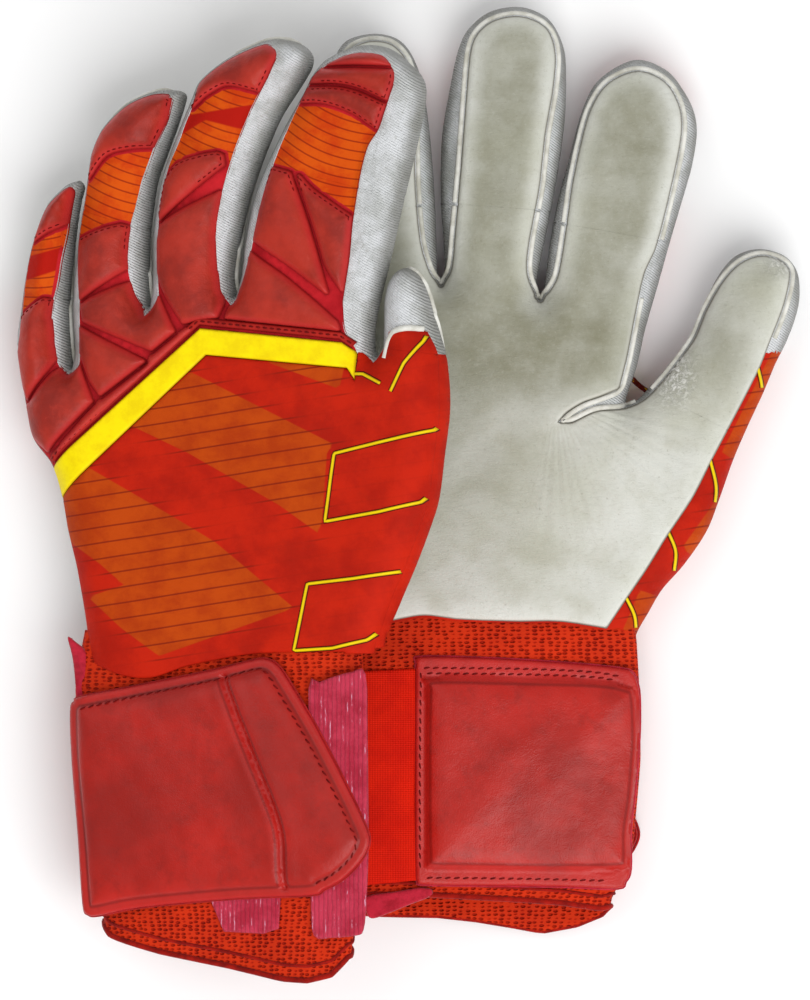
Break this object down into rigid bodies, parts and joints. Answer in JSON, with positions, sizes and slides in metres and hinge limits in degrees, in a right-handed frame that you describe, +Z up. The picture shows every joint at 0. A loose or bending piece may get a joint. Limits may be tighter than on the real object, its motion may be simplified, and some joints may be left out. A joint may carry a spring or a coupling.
{
  "type": "goalkeeper gloves",
  "caption": "Goalkeeper gloves laid flat, with latex palms, padded backs, finger gussets, sleeve cuffs and wrap-around wrist straps that open.",
  "frame": {"origin": "centre of the footprint of the two gloves, on the surface they lie on", "axes": "+Y along the gloves towards the fingertips, +X towards the thumbs, +Z up from the surface"},
  "size_m": [0.2382, 0.2884, 0.0642],
  "materials": {
    "palm_latex": "worn open-cell latex foam, matt",
    "gusset_latex": "finely ribbed latex, matt",
    "moulded_pad": "moulded foam, worn matt skin",
    "printed_fabric": "printed knit",
    "trim": "smooth printed strip",
    "knit_mesh": "open knit mesh",
    "loop_pile": "loop pile",
    "strap_pad": "padded, coated fabric"
  },
  "bodies": {
    "right_hand": {"right_palm_latex": "palm_latex", "right_backhand_panel": "printed_fabric", "right_trim_band": "trim", "right_knuckle_pad": "moulded_pad", "right_side_gusset_little": "gusset_latex", "right_web_little_ring": "gusset_latex", "right_web_ring_middle": "gusset_latex", "right_web_middle_index": "gusset_latex", "right_web_index_thumb": "gusset_latex", "right_side_gusset_thumb": "gusset_latex", "right_loop_patch": "loop_pile", "right_cuff_sleeve": "knit_mesh", "right_strap_band": "strap_pad"},
    "right_strap": {"right_strap_flap": "strap_pad"},
    "right_little_end": {"right_little_palm_face": "palm_latex", "right_little_gusset": "gusset_latex", "right_little_back_pad": "moulded_pad"},
    "right_ring_end": {"right_ring_palm_face": "palm_latex", "right_ring_gusset": "gusset_latex", "right_ring_back_pad": "moulded_pad"},
    "right_middle_end": {"right_middle_palm_face": "palm_latex", "right_middle_gusset": "gusset_latex", "right_middle_back_pad": "moulded_pad"},
    "right_index_end": {"right_index_palm_face": "palm_latex", "right_index_gusset": "gusset_latex", "right_index_back_pad": "moulded_pad"},
    "right_thumb_end": {"right_thumb_palm_face": "palm_latex", "right_thumb_gusset": "gusset_latex", "right_thumb_back_pad": "printed_fabric"},
    "left_hand": {"left_palm_latex": "palm_latex", "left_backhand_panel": "printed_fabric", "left_trim_band": "trim", "left_knuckle_pad": "moulded_pad", "left_side_gusset_little": "gusset_latex", "left_web_little_ring": "gusset_latex", "left_web_ring_middle": "gusset_latex", "left_web_middle_index": "gusset_latex", "left_web_index_thumb": "gusset_latex", "left_side_gusset_thumb": "gusset_latex", "left_loop_patch": "loop_pile", "left_cuff_sleeve": "knit_mesh", "left_strap_band": "strap_pad"},
    "left_strap": {"left_strap_flap": "strap_pad"},
    "left_little_end": {"left_little_palm_face": "palm_latex", "left_little_gusset": "gusset_latex", "left_little_back_pad": "moulded_pad"},
    "left_ring_end": {"left_ring_palm_face": "palm_latex", "left_ring_gusset": "gusset_latex", "left_ring_back_pad": "moulded_pad"},
    "left_middle_end": {"left_middle_palm_face": "palm_latex", "left_middle_gusset": "gusset_latex", "left_middle_back_pad": "moulded_pad"},
    "left_index_end": {"left_index_palm_face": "palm_latex", "left_index_gusset": "gusset_latex", "left_index_back_pad": "moulded_pad"},
    "left_thumb_end": {"left_thumb_palm_face": "palm_latex", "left_thumb_gusset": "gusset_latex", "left_thumb_back_pad": "printed_fabric"}
  },
  "joints": [
    {"name": "left_glove_lift", "type": "slide", "parent": "right_hand", "child": "left_hand", "axis": [0, 0, 1], "range_m": [0, 0.2]},
    {"name": "right_little_curl", "type": "hinge", "parent": "right_hand", "child": "right_little_end", "pos_m": [-0.02921, 0.07074, 0.0238], "axis": [0.9987, 0.05, 0], "range_deg": [0, 80]},
    {"name": "right_ring_curl", "type": "hinge", "parent": "right_hand", "child": "right_ring_end", "pos_m": [-0.00493, 0.09621, 0.0238], "axis": [0.9985, 0.054, 0], "range_deg": [0, 80]},
    {"name": "right_middle_curl", "type": "hinge", "parent": "right_hand", "child": "right_middle_end", "pos_m": [0.02983, 0.09621, 0.0238], "axis": [0.9976, -0.069, 0], "range_deg": [0, 80], "stiffness_Nm_per_rad": 0.1},
    {"name": "right_index_curl", "type": "hinge", "parent": "right_hand", "child": "right_index_end", "pos_m": [0.06728, 0.08812, 0.0238], "axis": [0.9854, -0.1701, 0], "range_deg": [0, 80], "stiffness_Nm_per_rad": 0.1},
    {"name": "right_thumb_curl", "type": "hinge", "parent": "right_hand", "child": "right_thumb_end", "pos_m": [0.09725, 0.03029, 0.0238], "axis": [0.8904, -0.4552, 0], "range_deg": [0, 45], "stiffness_Nm_per_rad": 0.1},
    {"name": "left_little_curl", "type": "hinge", "parent": "left_hand", "child": "left_little_end", "pos_m": [-0.1019, 0.06708, 0.00297], "axis": [-0.9394, 0.1564, -0.3052], "range_deg": [0, 80], "stiffness_Nm_per_rad": 0.1},
    {"name": "left_ring_curl", "type": "hinge", "parent": "left_hand", "child": "left_ring_end", "pos_m": [-0.08074, 0.08902, 0.00984], "axis": [-0.9051, 0.3072, -0.2941], "range_deg": [0, 80], "stiffness_Nm_per_rad": 0.1},
    {"name": "left_middle_curl", "type": "hinge", "parent": "left_hand", "child": "left_middle_end", "pos_m": [-0.04948, 0.10716, 0.02], "axis": [-0.8877, 0.3588, -0.2884], "range_deg": [0, 80]},
    {"name": "left_index_curl", "type": "hinge", "parent": "left_hand", "child": "left_index_end", "pos_m": [-0.01665, 0.10083, 0.03067], "axis": [-0.9193, 0.2561, -0.2987], "range_deg": [0, 80]},
    {"name": "left_thumb_curl", "type": "hinge", "parent": "left_hand", "child": "left_thumb_end", "pos_m": [0.00649, 0.04494, 0.03819], "axis": [-0.9435, 0.1262, -0.3066], "range_deg": [0, 45]},
    {"name": "right_strap_open", "type": "hinge", "parent": "right_hand", "child": "right_strap", "pos_m": [-0.02094, -0.08417, 0], "axis": [0, 1, 0], "range_deg": [0, 150]},
    {"name": "left_strap_open", "type": "hinge", "parent": "left_hand", "child": "left_strap", "pos_m": [-0.09847, -0.08417, 0.03048], "axis": [0, -1, 0], "range_deg": [0, 150]}
  ],
  "couplings": [
    {"joint": "right_little_curl", "follows": "left_glove_lift", "rad_per_m": 6.9},
    {"joint": "right_ring_curl", "follows": "left_glove_lift", "rad_per_m": 6.9},
    {"joint": "left_middle_curl", "follows": "left_glove_lift", "rad_per_m": 6.9},
    {"joint": "left_index_curl", "follows": "left_glove_lift", "rad_per_m": 6.9},
    {"joint": "left_thumb_curl", "follows": "left_glove_lift", "rad_per_m": 3.9}
  ]
}
